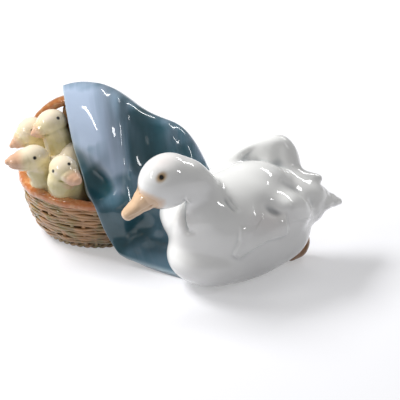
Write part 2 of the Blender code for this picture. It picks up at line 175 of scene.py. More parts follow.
def alongPath(flat, path):  # distance from a path, which side of it, and how far in from its ends
    path = np.asarray(path, float)
    nearest = np.full(len(flat), 1e9)
    side = np.ones(len(flat))
    place = np.zeros(len(flat))
    gone = 0.0
    for start, end in zip(path, path[1:]):
        step = end - start
        length = math.hypot(*step)
        t = np.clip(((flat - start) @ step) / length**2, 0, 1)
        away = flat - (start + t[:, None] * step)
        distance = np.hypot(away[:, 0], away[:, 1])
        better = distance < nearest
        nearest = np.where(better, distance, nearest)
        turn = np.sign(step[0] * (flat[:, 1] - start[1]) - step[1] * (flat[:, 0] - start[0]))
        side = np.where(better, turn, side)
        place = np.where(better, gone + t * length, place)
        gone += length
    return nearest, side, np.minimum(place, gone - place)


def strokeWeight(flat, stroke):
    if "spot" in stroke:
        offset = flat - np.array(stroke["spot"])
        turn = math.radians(stroke.get("turn", 0))
        across = offset[:, 0] * math.cos(turn) + offset[:, 1] * math.sin(turn)
        up = -offset[:, 0] * math.sin(turn) + offset[:, 1] * math.cos(turn)
        return np.exp(-((across / stroke["size"][0]) ** 2) - (up / stroke["size"][1]) ** 2)
    if "ledge" in stroke:  # a step up on the left of the path, fading away from it
        distance, side, inward = alongPath(flat, stroke["ledge"])
        signed = distance * side
        rise = smoothstep(-stroke["edge"] / 2, stroke["edge"] / 2, signed)
        return rise * np.exp(-np.clip(signed, 0, None) / stroke["fade"]) * smoothstep(0, 6, inward)
    distance, _, inward = alongPath(flat, stroke["line"])
    return np.exp(-((distance / stroke["width"]) ** 2)) * smoothstep(-1, stroke.get("taper", 5), inward)


def strokes(piece, marks, sideOnly=True):
    where, normal = readMesh(piece.data)
    flat = seenFlat(where)
    facing = smoothstep(0.0, 0.35, normal @ towardEye) if sideOnly else np.ones(len(where))
    total = np.zeros(len(where))
    for mark in marks:
        nearest, deepest = mark.get("between", (-1000, 1000))
        here = (where[:, 1] / mm > nearest) & (where[:, 1] / mm < deepest)
        total += mark["amount"] * strokeWeight(flat, mark) * here
    return total * facing


def carve(piece, marks):  # millimetres out of the surface, or into it
    lift = strokes(piece, marks)
    where, normal = readMesh(piece.data)
    writeMesh(piece.data, where + normal * (lift * mm)[:, None])


def softened(mesh, where, rounds, share=1.0):  # points move to their neighbours' middle
    ends = np.empty(len(mesh.edges) * 2, np.int32)
    mesh.edges.foreach_get("vertices", ends)
    ends = ends.reshape(-1, 2)
    degree = np.bincount(ends.ravel(), minlength=len(where))[:, None]
    soft = where.copy()
    for _ in range(rounds):
        total = np.empty_like(soft)
        for axis in range(3):
            total[:, axis] = np.bincount(ends[:, 0], soft[ends[:, 1], axis], len(where))
            total[:, axis] += np.bincount(ends[:, 1], soft[ends[:, 0], axis], len(where))
        soft += (total / degree - soft) * share
    return soft


def markHollows(piece, rounds, depth):  # how far the surface lies below (+) or above (-) its surroundings, stored as painted shade for the hollows
    where, normal = readMesh(piece.data)
    sunk = ((softened(piece.data, where, rounds) - where) * normal).sum(1) / (depth * mm)
    store(piece.data, "hollowShade", np.clip(sunk, -1, 1))


def fit(piece, material):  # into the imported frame, with its finish
    piece.data.transform(Matrix.Translation(-baseMiddle))
    piece.data.shade_smooth()
    piece.data.materials.clear()
    piece.data.materials.append(material)
    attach(piece, "root")
    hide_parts("figurine")
    print(piece.name, len(piece.data.polygons), "faces")


# Finishes: all are glazed hard porcelain, with painted shade that darkens the colour in the hollows

glazes = {
    "white": "#F4F4F2",
    "whiteShade": "#B4B9BB",
    "whiteWarm": "#F3E9E6",
    "bill": "#E6C3A0",
    "billShade": "#BC8650",
    "billTipHighlight": "#EED6BE",
    "down": "#EDDFB2",
    "downShade": "#A59A48",
    "downPale": "#F9EAD6",
    "ducklingBill": "#DBAE90",
    "eyeRing": "#A9813F",
    "eye": "#0B0A08",
    "cloth": "#4A6F80",
    "clothPale": "#AFBFD6",
    "clothShade": "#1C4A55",
    "clothEdgeHighlight": "#C6D6DF",
    "weave": "#C29060",
    "weaveShade": "#664B26",
    "weaveGreen": "#8C8048",
    "rim": "#BE7038",
    "rimPale": "#D29A68",
    "foot": "#96683C",
    "footShade": "#3C2A14",
    "floor": "#C6C6CA",
}


def attribute(tree, name):
    return addNode(tree, "ShaderNodeAttribute", {"attribute_name": name}).outputs["Fac"]


def between(tree, value, low, high):
    smooth = {"interpolation_type": "SMOOTHSTEP"}
    limits = {"From Min": low, "From Max": high}
    return addNode(tree, "ShaderNodeMapRange", smooth, limits, {"Value": value}).outputs[0]


def blend(tree, amount, under, over):
    node = addNode(tree, "ShaderNodeMix", {"data_type": "RGBA"}, links={"Factor": amount})
    for socket, value in zip([s for s in node.inputs if s.type == "RGBA"], (under, over)):
        if isinstance(value, str):
            socket.default_value = hexColour(glazes[value])
        else:
            tree.links.new(value, socket)
    return [s for s in node.outputs if s.type == "RGBA"][0]


def glazedPorcelain(name, paint, coatRoughness=0.05, waver=0.1, waveLength=9):
    # A clear coat of feldspar glaze, mirror-bright and slightly wavy, over a softly matt coloured body.
    material = bpy.data.materials.new(name)
    material.use_nodes = True
    tree = material.node_tree
    shader = tree.nodes["Principled BSDF"]
    shader.inputs["Roughness"].default_value = 0.45
    shader.inputs["IOR"].default_value = 1.5
    shader.inputs["Specular IOR Level"].default_value = 0.3
    shader.inputs["Coat Weight"].default_value = 1.0
    shader.inputs["Coat Roughness"].default_value = coatRoughness
    shader.inputs["Coat IOR"].default_value = 1.55
    place = addNode(tree, "ShaderNodeTexCoord").outputs["Object"]
    tree.links.new(paint(tree, place), shader.inputs["Base Color"])
    # the glaze runs in waves, some millimetres long and a small part of a millimetre high
    waves = {"Scale": 1000 / waveLength, "Detail": 2.0}
    height = addNode(tree, "ShaderNodeTexNoise", inputs=waves, links={"Vector": place}).outputs["Fac"]
    relief = {"Strength": waver, "Distance": 0.0006}
    bump = addNode(tree, "ShaderNodeBump", inputs=relief, links={"Height": height})
    tree.links.new(bump.outputs["Normal"], shader.inputs["Coat Normal"])
    return material


def paintWhite(tree, place):
    # painted shade: the white turns grey in the hollows
    hollowShade = between(tree, attribute(tree, "hollowShade"), 0.05, 1.0)
    body = blend(tree, hollowShade, "white", "whiteShade")
    body = blend(tree, attribute(tree, "blush"), body, "whiteWarm")
    body = blend(tree, attribute(tree, "bill"), body, "bill")
    body = blend(tree, attribute(tree, "eyeRing"), body, "eyeRing")
    return blend(tree, attribute(tree, "eye"), body, "eye")


def paintBill(tree, place):
    # painted shade in the bill's hollows, and a painted highlight that pales its tip
    deep = blend(tree, between(tree, attribute(tree, "hollowShade"), 0.0, 0.8), "bill", "billShade")
    return blend(tree, attribute(tree, "tip"), deep, "billTipHighlight")


def paintDown(tree, place):
    # painted shade in the hollows
    body = blend(tree, between(tree, attribute(tree, "hollowShade"), -0.2, 0.6), "down", "downShade")
    tufts = {"Scale": 130.0, "Detail": 2.0}  # downy patches about 8 mm across
    patches = addNode(tree, "ShaderNodeTexNoise", inputs=tufts, links={"Vector": place})
    body = blend(tree, between(tree, patches.outputs["Fac"], 0.5, 0.8), body, "downPale")
    # painted light: paler on the crowns and on the tops of the bodies, with painted shade lower in the
    # basket
    body = blend(tree, attribute(tree, "pale"), body, "downPale")
    # painted shade under the chin
    body = blend(tree, attribute(tree, "throat"), body, "downShade")
    body = blend(tree, attribute(tree, "bill"), body, "ducklingBill")
    return blend(tree, attribute(tree, "eye"), body, "eye")


def paintCloth(tree, place):
    # brush marks some millimetres wide run down the folds
    across, down = attribute(tree, "across"), attribute(tree, "down")
    sheet = addNode(tree, "ShaderNodeCombineXYZ", links={"X": across, "Y": down}).outputs["Vector"]
    marks = {"Scale": (18.0, 2.5, 1.0)}
    stretch = addNode(tree, "ShaderNodeMapping", inputs=marks, links={"Vector": sheet}).outputs["Vector"]
    bristles = {"Scale": 1.0, "Detail": 3.0}
    brush = addNode(tree, "ShaderNodeTexNoise", inputs=bristles, links={"Vector": stretch})
    streak = between(tree, brush.outputs["Fac"], 0.35, 0.7)
    # brush streaks, plus painted light where the cloth turns to the light
    streaksAndPaintedLight = addNode(
        tree, "ShaderNodeMath", {"operation": "MULTIPLY_ADD", "use_clamp": True},
        links={0: streak, 1: attribute(tree, "brushed"), 2: attribute(tree, "pale")},
    ).outputs["Value"]
    body = blend(tree, streaksAndPaintedLight, "cloth", "clothPale")
    # painted shade in the hollows and along the shade strokes
    body = blend(tree, between(tree, attribute(tree, "hollowShade"), 0.0, 0.9), body, "clothShade")
    body = blend(tree, attribute(tree, "paintedShade"), body, "clothShade")
    # a painted highlight along the hem and borders
    return blend(tree, attribute(tree, "edge"), body, "clothEdgeHighlight")


def paintWeave(tree, place):
    mottle = {"Scale": 90.0, "Detail": 3.0}  # washes of brown and olive about 11 mm across
    patches = addNode(tree, "ShaderNodeTexNoise", inputs=mottle, links={"Vector": place})
    base = blend(tree, between(tree, patches.outputs["Fac"], 0.42, 0.72), "weave", "weaveGreen")
    # painted shade in the grooves between the rods and behind them
    return blend(tree, between(tree, attribute(tree, "hollowShade"), 0.0, 1.0), base, "weaveShade")


def paintRim(tree, place):
    mottle = {"Scale": 220.0, "Detail": 3.0}  # thin and thick places in the colour, about 5 mm across
    patches = addNode(tree, "ShaderNodeTexNoise", inputs=mottle, links={"Vector": place})
    base = blend(tree, between(tree, patches.outputs["Fac"], 0.4, 0.7), "rim", "rimPale")
    # painted shade in the rim's dips, and evenly over the handle
    return blend(tree, between(tree, attribute(tree, "hollowShade"), 0.1, 1.0), base, "weaveShade")


def paintFoot(tree, place):
    # painted shade in the toe grooves
    return blend(tree, between(tree, attribute(tree, "hollowShade"), 0.0, 0.8), "foot", "footShade")


print("materials")
whitePorcelain = glazedPorcelain("whiteGlazedPorcelain", paintWhite)
billPorcelain = glazedPorcelain("fleshTintedPorcelain", paintBill)
downPorcelain = glazedPorcelain("creamGlazedPorcelain", paintDown, waver=0.25, waveLength=5)
clothPorcelain = glazedPorcelain("blueGlazedPorcelain", paintCloth, waver=0.05)
weavePorcelain = glazedPorcelain("brownGlazedPorcelain", paintWeave, 0.1, 0.5, 3)
rimPorcelain = glazedPorcelain("terracottaGlazedPorcelain", paintRim, 0.06, 0.6, 4)
footPorcelain = glazedPorcelain("orangeGlazedPorcelain", paintFoot)


# The duck

duck = {
    "middle": (50, 33),
    "heading": 210,
    "grain": 0.75,
    "rubbing": 70,  # how many times the clay is rubbed smooth
    "headMiddle": (-3.5, 5, 82.5),
    "billWay": (-0.72, -0.30, -0.60),
    "eyeSeen": (-6.65, 78.3),  # across and up, as it is looked at
    "pupil": 1.8,
    "ring": (6.0, 4.4),
}
ahead = Vector((math.cos(math.radians(duck["heading"])), math.sin(math.radians(duck["heading"])), 0))
nearSide = Vector((-ahead.y, ahead.x, 0))

duckStrokes = [
    # the near wing's lower edge, its tip, and the second feather group
    {"ledge": [(47, 47), (46.5, 35), (42.6, 26), (46.2, 23.5), (52.5, 27.7), (65.1, 35.4), (78.4, 39.2),
               (79.8, 41.7), (79.1, 49), (79.5, 55)],
     "amount": 2.2, "edge": 2.4, "fade": 13, "between": (-60, 60)},
    {"ledge": [(79.5, 47), (86, 49), (94.5, 49.5), (101, 51.5)], "amount": 1.3, "edge": 2.4, "fade": 8,
     "between": (-60, 80)},
    {"spot": (71, 55.5), "size": (9, 4.5), "turn": -38, "amount": -3.8, "between": (-60, 60)},
    {"spot": (82, 59), "size": (6.5, 5), "turn": -20, "amount": 2.0, "between": (-60, 70)},
    {"spot": (57, 51), "size": (5, 5), "amount": 0.9, "between": (-60, 60)},
    {"line": [(74, 78), (86, 71), (96, 63), (98.5, 57)], "width": 2.6, "amount": -1.2, "between": (-60, 80)},
    # feather tips at the nape
    {"line": [(35, 65.5), (40, 58.5), (45.5, 53.2)], "width": 1.2, "amount": -1.0, "between": (-60, 60)},
    {"line": [(38, 66), (43.6, 59.4), (48, 54.2)], "width": 1.1, "amount": -0.9, "between": (-60, 60)},
    # the far wing: its folds
    {"line": [(75, 104), (74, 86)], "width": 4.5, "amount": -0.9, "between": (55, 200)},
    {"spot": (53, 95), "size": (8, 4), "turn": 40, "amount": -2.5, "between": (55, 200)},
    # the throat: the neck stands in front of the far shoulder
    {"ledge": [(9.8, 68), (10.2, 63), (10.3, 50), (12, 40)], "amount": 2.0, "edge": 1.2, "fade": 9,
     "between": (-60, 20)},
    {"line": [(9.2, 65), (9.3, 50), (11, 41)], "width": 1.3, "amount": -1.5, "between": (-60, 40)},
    {"line": [(11.5, 46), (13.5, 38)], "width": 3, "amount": -1.2, "between": (-60, 30)},
    # cheek and jaw
    {"line": [(2, 64), (-8, 62.5)], "width": 3.0, "amount": -0.5, "between": (-60, 20)},
    {"spot": (-7, 84), "size": (7, 3), "turn": -20, "amount": 0.5, "between": (-60, 20)},
    {"spot": (-6.6, 78.3), "size": (4, 3.2), "amount": -0.5, "between": (-60, 20)},
]


def onDuck(a, b, z):  # ahead of the body's middle, toward the looker's side, and up
    return at(*duck["middle"], z) + (ahead * a + nearSide * b) * mm


def eyeSpots(where, normal, seen, head, level):  # the eye that shows, and its twin on the far cheek
    flat = seenFlat(where)
    facingGain = 14  # millimetres that a point gains by facing the looker
    gap = np.hypot(flat[:, 0] - seen[0], flat[:, 1] - seen[1]) - (normal @ towardEye) * facingGain
    near = where[np.argmin(gap)]
    across = np.array([-level.y, level.x, 0]) / level.length
    return near, near - 2 * ((near - np.array(head)) @ across) * across


def makeDuck():
    form = bmesh.new()
    addBall(form, onDuck(6, 0, 38), (50, 37, 39), ahead, nearSide)
    addBall(form, onDuck(-6, -4, 50), (36, 27, 28.5), ahead, nearSide)  # back
    addBall(form, at(28, 17, 21), (32.5, 32, 21), ahead, nearSide)  # breast
    # flank
    addLimb(form, [(at(40, 24, 28), 31.5), (at(52, 31, 29), 31.5), (at(63, 37, 29.5), 29),
                   (at(73, 41, 28.5), 24.5)])
    # neck and head
    addLimb(form, [(at(34, 14, 29), 22), (at(31, 8.5, 40), 19), (at(28.5, 7.5, 49), 17),
                   (at(26.5, 8.5, 56), 15.6), (at(24.5, 12, 64.5), 13.5), (at(21.5, 12, 71), 12.8),
                   (at(18, 11, 76.5), 13), (at(9, 8, 83), 15.2), (at(-2, 5, 83), 17.2)])
    addBall(form, at(*duck["headMiddle"]), (21.5, 18.5, 19.5), duck["billWay"], nearSide)
    addBall(form, at(11, 40, 42), (21.5, 17, 18), ahead, nearSide)  # far shoulder
    addBall(form, at(5, 29, 43), (13, 16, 16))
    # near wing
    addBall(form, onDuck(-6, 20, 44), (36, 16, 21), -ahead + Vector((0, 0, 0.1)), nearSide)
    addLimb(form, [(onDuck(14, 20, 36), 12), (onDuck(-6, 22, 42), 13), (onDuck(-26, 17, 46), 13),
                   (onDuck(-40, 8, 47), 11)])
    # tail, a flat fan, with a raised cover feather
    addLimb(form, [(onDuck(-22, 0, 39), 26), (onDuck(-44, 0, 41), 18.5), (onDuck(-57, 1, 41), 11)])
    addLimb(form, [(onDuck(-44, 0, 41), 10), (onDuck(-58, 2, 40.5), 6.5), (onDuck(-68, 3, 38.5), 4.2),
                   (onDuck(-75, 4, 36.5), 2.4)], 2.1, nearSide)
    addLimb(form, [(onDuck(-36, -4, 46), 13), (onDuck(-54, -1, 45), 8), (onDuck(-70, 3, 39.5), 3.4)])
    addLimb(form, [(at(74, 57, 52), 13), (at(86, 61, 54.5), 9), (at(96, 63, 56), 5.5),
                   (at(102.5, 63.5, 55.5), 3)])
    # far wing: its leading edge, its rounded tip, and the web in the hollow between them
    addLimb(form, [(at(32, 56, 63), 8), (at(44, 64, 69), 6.8), (at(56, 70, 74.5), 6), (at(66, 73, 76), 7),
                   (at(75, 74.5, 75), 9.6), (at(80, 72.5, 67), 10), (at(80.7, 68, 57), 10),
                   (at(80, 62, 48), 10)])
    addLimb(form, [(at(40, 63, 60), 7), (at(54, 70, 65), 7), (at(70, 74, 68), 8)])
    addLimb(form, [(at(50, 61, 57), 9), (at(66, 66, 57), 10), (at(78, 67, 55), 10)])
    addBall(form, at(70, 70, 65), (12, 8, 16))
    piece = melted("duck", form, duck["grain"], 4)
    where, _ = readMesh(piece.data)
    # the clay is rubbed smooth, but less at the throat's crease and toward the thin tips of tail and wing
    throat = strokeWeight(seenFlat(where), {"line": [(10.5, 68), (10.5, 47)], "width": 4, "taper": 2})
    throat *= where[:, 1] / mm < 50
    rubbed = (1 - 0.96 * throat)[:, None] * (1 - 0.92 * smoothstep(96, 104, where[:, 0] / mm)[:, None])
    writeMesh(piece.data, softened(piece.data, where, duck["rubbing"], rubbed))
    carve(piece, duckStrokes)
    trimGround(piece)
    markHollows(piece, 60, 1.3)
    return piece


def makeBill():
    form = bmesh.new()
    addLimb(form, [(at(-11, 2, 77), 11), (at(-17, -0.5, 72.4), 7.6), (at(-23, -3.3, 67.5), 5.4),
                   (at(-27.5, -5.4, 64.4), 4.6), (at(-29.8, -6.5, 62.6), 4.1)], 1.28, nearSide)
    piece = melted("duckBill", form, 0.5, 6)
    carve(piece, [
        {"line": [(-9, 61), (-16, 57.5), (-24, 52.5), (-31, 50)], "width": 0.8, "amount": -0.8},
        {"spot": (-21, 68), "size": (1.7, 0.8), "turn": 50, "amount": -0.7},
        {"line": [(-24.5, 74), (-25, 66), (-30, 57)], "width": 2.4, "amount": -0.7},
    ])
    markHollows(piece, 40, 0.8)
    where, _ = readMesh(piece.data)
    # a painted highlight pales the bill toward its tip
    tip = np.linalg.norm(where - np.array(at(-34, -8.5, 58)), axis=1) / mm
    store(piece.data, "tip", 1 - smoothstep(1, 6, tip))
    return piece


def paintDuckHead(body, bill):  # the bill's colour fades out over the face, and the eyes have soft rings
    where, normal = readMesh(body.data)
    shape = bmesh.new()
    shape.from_mesh(bill.data)
    surface = BVHTree.FromBMesh(shape)
    shape.free()
    away = np.full(len(where), 9.0)
    for i in np.flatnonzero(where[:, 0] < at(0, 0, 0).x):
        found = surface.find_nearest(Vector(where[i]), 4 * mm)
        if found[0] is not None:
            away[i] = found[3] / mm
    store(body.data, "bill", (1 - smoothstep(0.2, 2.2, away)) * 0.85)
    level = Vector((duck["billWay"][0], duck["billWay"][1], 0))
    pupil = np.zeros(len(where))
    ring = np.zeros(len(where))
    way = np.array(Vector(duck["billWay"]).normalized())
    for spot in eyeSpots(where, normal, duck["eyeSeen"], at(*duck["headMiddle"]), level):
        offset = (where - spot) / mm
        forward = offset @ way
        upward = np.linalg.norm(offset - np.outer(forward, way), axis=1)
        across = np.hypot(forward, upward)
        pupil = np.maximum(pupil, 1 - smoothstep(duck["pupil"] - 0.4, duck["pupil"] + 0.4, across))
        reach = np.hypot(forward / duck["ring"][0], upward / duck["ring"][1])
        ring = np.maximum(ring, 0.85 * (1 - smoothstep(0.35, 1.0, reach)))
    store(body.data, "eye", pupil)
    store(body.data, "eyeRing", ring)
    blush = strokes(body, [{"spot": (-8, 90), "size": (10, 6), "amount": 0.7, "between": (-60, 30)},
                           {"spot": (66, 48), "size": (12, 8), "amount": 0.4, "between": (-60, 60)}])
    store(body.data, "blush", blush)


def makeFoot():
    form = bmesh.new()
    addLimb(form, [(at(78, 50, 22), 7), (at(89, 54, 14), 7), (at(89, 51, 8), 6.5), (at(83, 46, 6), 5.8)])
    piece = melted("duckFoot", form, 0.7, 4)
    carve(piece, [{"line": [(91, 33), (86, 27), (82, 24)], "width": 1.6, "amount": -1.2},
                  {"line": [(96, 36), (92, 27), (88, 23)], "width": 1.4, "amount": -1.0}])
    trimGround(piece)
    markHollows(piece, 30, 0.8)
    return piece


# The basket

basket = {
    "middle": (-53.5, 103.5),
    "floorRadius": 38.0,
    "wallRadius": 51.8,
    "wall": 4.5,
    "wellDepth": 15.0,
    "height": 41.0,
    "fullness": 2.2,
    "stakes": 36,
    "rows": 6,
    "rodPlaces": (0.29, 0.73),  # the two rods of a row, and half a rod's height, in shares of the row
    "rodHeight": 0.3,
    "strandThickness": 2.6,
    "strandWave": 0.4,
    "rimThickness": 7.6,
    "ropeThickness": 6.0,
    "ropeTurns": 15,
    "handleRise": 61.0,
    "handleWidth": 12.0,
    "handleDepth": 7.0,
    "handleFullness": 0.72,
    "handleDip": 19.0,  # under the cloth it is bent down, fully so from this far along
    "handleDipReach": 30.0,
    "handleRoot": 3.0,
    "handleTurn": -20.0,
}


def wallRadius(z):
    share = min(max(z / basket["height"], 0), 1)
    flare = basket["wallRadius"] - basket["floorRadius"]
    return basket["floorRadius"] + flare * (1 - (1 - share) ** basket["fullness"])


def aroundBasket(angle, radius, z):
    x, y = basket["middle"]
    return at(x + radius * math.cos(angle), y + radius * math.sin(angle), z)


def sweptTube(rings, closed):  # points and faces between rings of points
    points = [p for ring in rings for p in ring]
    count = len(rings[0])
    faces = []
    for i in range(len(rings) if closed else len(rings) - 1):
        j = (i + 1) % len(rings)
        for k in range(count):
            n = (k + 1) % count
            faces.append((i * count + k, j * count + k, j * count + n, i * count + n))
    if not closed:
        faces.append(tuple(reversed(range(count))))
        faces.append(tuple((len(rings) - 1) * count + k for k in range(count)))
    return points, faces


def shadeEvenly(piece, amount):  # the same painted shade everywhere
    store(piece.data, "hollowShade", np.full(len(piece.data.vertices), amount))


def joined(name, tubes):
    points, faces = [], []
    for tubePoints, tubeFaces in tubes:
        faces += [tuple(len(points) + i for i in face) for face in tubeFaces]
        points += tubePoints
    return pieceFromFaces(name, points, faces)


def makeWeave():  # each row is a pair of rods, woven as one
    tubes = []
    depths = []
    low = basket["ropeThickness"] - 1.4
    high = basket["height"] - 2.4
    pitch = (high - low) / basket["rows"]
    around, sides = basket["stakes"] * 10, 8
    for row in range(basket["rows"]):
        for rod in basket["rodPlaces"]:
            middle = low + pitch * (row + rod)
            rings = []
            for k in range(around):
                angle = 2 * math.pi * k / around
                swing = math.cos(basket["stakes"] / 2 * angle + math.pi * row + 0.3 * rod)
                wave = swing * basket["strandWave"]
                sag = 0.5 * math.sin(3 * angle + row * 2.1) + 0.35 * math.sin(11 * angle + 5 * row + 3 * rod)
                stout = 1 + 0.15 * math.sin(17 * angle + row * 1.3 + 9 * rod)
                ring = []
                for j in range(sides):
                    turn = 2 * math.pi * j / sides
                    out = basket["strandThickness"] * 0.5 * math.cos(turn)
                    up = pitch * basket["rodHeight"] * stout * math.sin(turn)
                    reach = wallRadius(middle + up) + 0.2 + wave + out
                    ring.append(aroundBasket(angle, reach, middle + up + sag))
                    # painted shade along each rod's upper and lower edges, and where it runs behind a stake
                    groove = abs(math.sin(turn)) ** 3.5 * 0.75
                    depths.append(groove + 0.3 * (0.5 - wave / basket["strandWave"] / 2))
                rings.append(ring)
            tubes.append(sweptTube(rings, True))
    for stake in range(basket["stakes"]):
        angle = 2 * math.pi * stake / basket["stakes"]
        rings = []
        for i in range(15):
            z = low - 2 + (high - low + 2) * i / 14
            ring = []
            for j in range(sides):
                turn = -2 * math.pi * j / sides
                spread = 1.8 * math.sin(turn) / 50
                ring.append(aroundBasket(angle + spread, wallRadius(z) + 0.8 * math.cos(turn), z))
                # painted shade on the stakes' inner side
                depths.append(0.4 - 0.4 * math.cos(turn))
            rings.append(ring)
        tubes.append(sweptTube(rings, False))
    piece = joined("basketWeave", tubes)
    store(piece.data, "hollowShade", depths)
    return piece


def makeBowl():  # the wall behind the weave, and the floor inside
    high = basket["height"]
    outer = [(wallRadius(z) - 0.9, z) for z in np.linspace(0, high, 12)]
    well = wallRadius(high) - basket["wall"]
    deep = high - basket["wellDepth"]
    inner = [(well, high), (well, high - 7), (well - 4, deep + 2), (well - 11.5, deep), (1, deep)]
    segments = 96
    rings = []
    for radius, z in [(1, 0.0)] + outer + inner:
        rings.append([aroundBasket(2 * math.pi * k / segments, radius, z) for k in range(segments)])
    piece = joined("basketBowl", [sweptTube(rings, False)])
    # painted shade on the wall behind the weave and inside the basket
    shadeEvenly(piece, 0.6)
    return piece


def makeRim():
    around, sides = 600, 16
    rings = []
    for k in range(around):
        angle = 2 * math.pi * k / around
        lift = 0.5 * math.sin(5 * angle) + 0.3 * math.sin(13 * angle + 1)
        ring = []
        for j in range(sides):
            turn = 2 * math.pi * j / sides
            spot = aroundBasket(angle, 50 + 3 * math.cos(turn), 3 * math.sin(turn))
            lump = 0.55 * noise.noise(spot * 160) + 0.3 * noise.noise(spot * 420)
            own = basket["rimThickness"] / 2 + lump - 0.3
            out = basket["wallRadius"] + 0.6 + own * math.cos(turn)
            up = basket["height"] - 0.2 + lift + own * 1.02 * math.sin(turn)
            ring.append(aroundBasket(angle, out, up))
        rings.append(ring)
    piece = joined("basketRim", [sweptTube(rings, True)])
    # painted shade in the rim's dips
    markHollows(piece, 6, 0.35)
    return piece


def makeRope():
    tubes = []
    depths = []
    around, sides, strands = 480, 10, 3
    offset = basket["ropeThickness"] * 0.24
    own = basket["ropeThickness"] / 2 - offset
    for strand in range(strands):
        rings = []
        for k in range(around):
            angle = 2 * math.pi * k / around
            phase = basket["ropeTurns"] * angle + 2 * math.pi * strand / strands
            ring = []
            for j in range(sides):
                turn = 2 * math.pi * j / sides
                out = offset * math.cos(phase) + own * math.cos(turn)
                up = offset * math.sin(phase) + own * math.sin(turn)
                reach = basket["floorRadius"] - 0.5 + out
                ring.append(aroundBasket(angle, reach, basket["ropeThickness"] * 0.45 + up))
                # painted shade in the crevices between the strands
                depths.append(1.3 - 2 * math.hypot(out, up) / basket["ropeThickness"] * 1.3)
            rings.append(ring)
        tubes.append(sweptTube(rings, True))
    piece = joined("basketRope", tubes)
    store(piece.data, "hollowShade", depths)
    trimGround(piece)
    return piece


def makeHandle():
    rings = []
    turnZ = math.radians(basket["handleTurn"])
    x, y = basket["middle"]
    spans, sides = 90, 16
    thick, wide = basket["handleDepth"] / 2, basket["handleWidth"] / 2
    rise = basket["handleRise"] + basket["handleRoot"] - thick
    for i in range(spans + 1):
        turn = math.pi * i / spans
        out = -basket["wallRadius"] * math.cos(turn)
        dip = basket["handleDip"] * min(max(out / basket["handleDipReach"], 0), 1) * math.sin(turn)
        root = basket["height"] - basket["handleRoot"]
        z = root + rise * abs(math.sin(turn)) ** basket["handleFullness"] - dip
        lean = math.atan2(rise * math.cos(turn), basket["wallRadius"] * math.sin(turn) + 1e-6)
        ring = []
        for j in range(sides):
            spin = -2 * math.pi * j / sides
            lump = 1 + 0.10 * noise.noise(Vector((out, z, 3 * math.cos(spin))) * 0.25)
            side = lump * wide * math.copysign(abs(math.cos(spin)) ** 0.8, math.cos(spin))
            lift = lump * thick * math.copysign(abs(math.sin(spin)) ** 0.8, math.sin(spin))
            alongX = out - lift * math.sin(lean)
            ring.append(at(
                x + alongX * math.cos(turnZ) - side * math.sin(turnZ),
                y + alongX * math.sin(turnZ) + side * math.cos(turnZ),
                z + lift * math.cos(lean),
            ))
        rings.append(ring)
    piece = joined("basketHandle", [sweptTube(rings, False)])
    shadeEvenly(piece, 0.45)  # painted shade, evenly: it is darker than the rim
    return piece


def makeHandleLeg():  # it comes down from the arch just inside the cloth's open side
    form = bmesh.new()
    addLimb(form, [(at(-73.5, 110, 87), 4.2), (at(-73, 107, 79), 5), (at(-71.5, 101, 66), 6),
                   (at(-68, 97, 46), 8)])
    piece = melted("basketHandleLeg", form, 0.9, 6)
    # painted shade, evenly
    shadeEvenly(piece, 0.55)
    return piece


# The cloth

cloth = {"thickness": 2.6, "levels": 4, "soften": 45, "paleBorder": 0.035}
# The rows run from the hem behind, over the handle, down the front and out along the ground;
# each row runs from the basket's open side to the duck's side.
clothRows = [
    [(-70, 164, 24), (-58, 169, 19), (-44, 164, 25), (-28, 166, 18), (-14, 153, 24),
     (0, 146, 18), (12, 126, 20), (22, 113, 12), (30, 96, 4)],
    [(-72, 160, 44), (-58, 165, 42), (-44, 160, 46), (-28, 160, 42), (-12, 148, 46),
     (2, 140, 40), (14, 120, 39), (24, 107, 28), (31, 92, 18)],
    [(-74, 143, 66), (-60, 147, 69), (-44, 142, 71), (-28, 142, 67), (-10, 132, 67),
     (4, 126, 60), (16, 110, 56), (25, 100, 43), (32, 88, 30)],
    [(-77, 123, 98), (-64, 125, 104), (-46, 122, 103.5), (-30, 119, 96.5), (-13, 113, 79),
     (0, 108, 82), (12, 101, 77), (22, 94, 62), (30, 85, 42)],
    [(-79, 111, 108.5), (-70.5, 109, 111), (-55, 106, 112), (-41, 104, 107), (-27, 99, 99),
     (-13, 97, 87), (1, 95, 88), (14, 90, 78), (25, 84, 57)],
    [(-75.5, 96, 94), (-66, 92, 100), (-52, 87, 102), (-39, 82, 99), (-27, 89, 92),
     (-13, 88, 83), (1, 83, 81), (15, 80, 70), (26, 78, 49)],
    [(-72, 83, 78), (-62, 77, 82), (-48, 71, 84), (-35.5, 68, 80.5), (-27, 84, 71),
     (-12, 85, 66), (3, 75, 66), (16, 71, 56), (27, 70, 38)],
    [(-66, 78, 60), (-58, 71, 61), (-46, 62, 64), (-32, 57, 62.5), (-24, 70, 54),
     (-11, 72, 52), (4, 66, 50), (18, 62, 40), (29, 61, 24)],
    [(-61, 60, 50), (-54, 61, 50), (-45, 57, 50), (-31, 51, 48.5), (-21, 57, 44),
     (-8, 58, 41), (5, 56, 35), (18, 53, 26), (30, 52, 13)],
    [(-54, 43, 44), (-48, 40.5, 43.5), (-40, 40, 43), (-29, 42, 40), (-18, 47, 34.5),
     (-7, 50, 29), (6, 49, 22), (19, 46, 14), (33, 42, 6)],
    [(-49, 45, 27), (-44, 45, 25), (-37, 47, 23), (-28, 51, 19.5), (-17, 55, 15),
     (-5, 50, 14), (8, 42, 9), (21, 36, 5), (38, 31, 2)],
    [(-44, 45, 17), (-40, 43, 14), (-34, 43, 12), (-25, 42, 11), (-14, 40, 9),
     (-2, 36, 6.5), (10, 31, 3.5), (24, 24, 2.4), (40, 24, 2.2)],
    [(-38, 41, 9), (-36, 38.5, 7), (-29, 36, 4.8), (-20, 31, 3), (-8, 24.5, 2.3),
     (3, 18.5, 2.2), (15, 12.5, 2.2), (29, 11, 2.2), (48, 15, 2.2)],
]
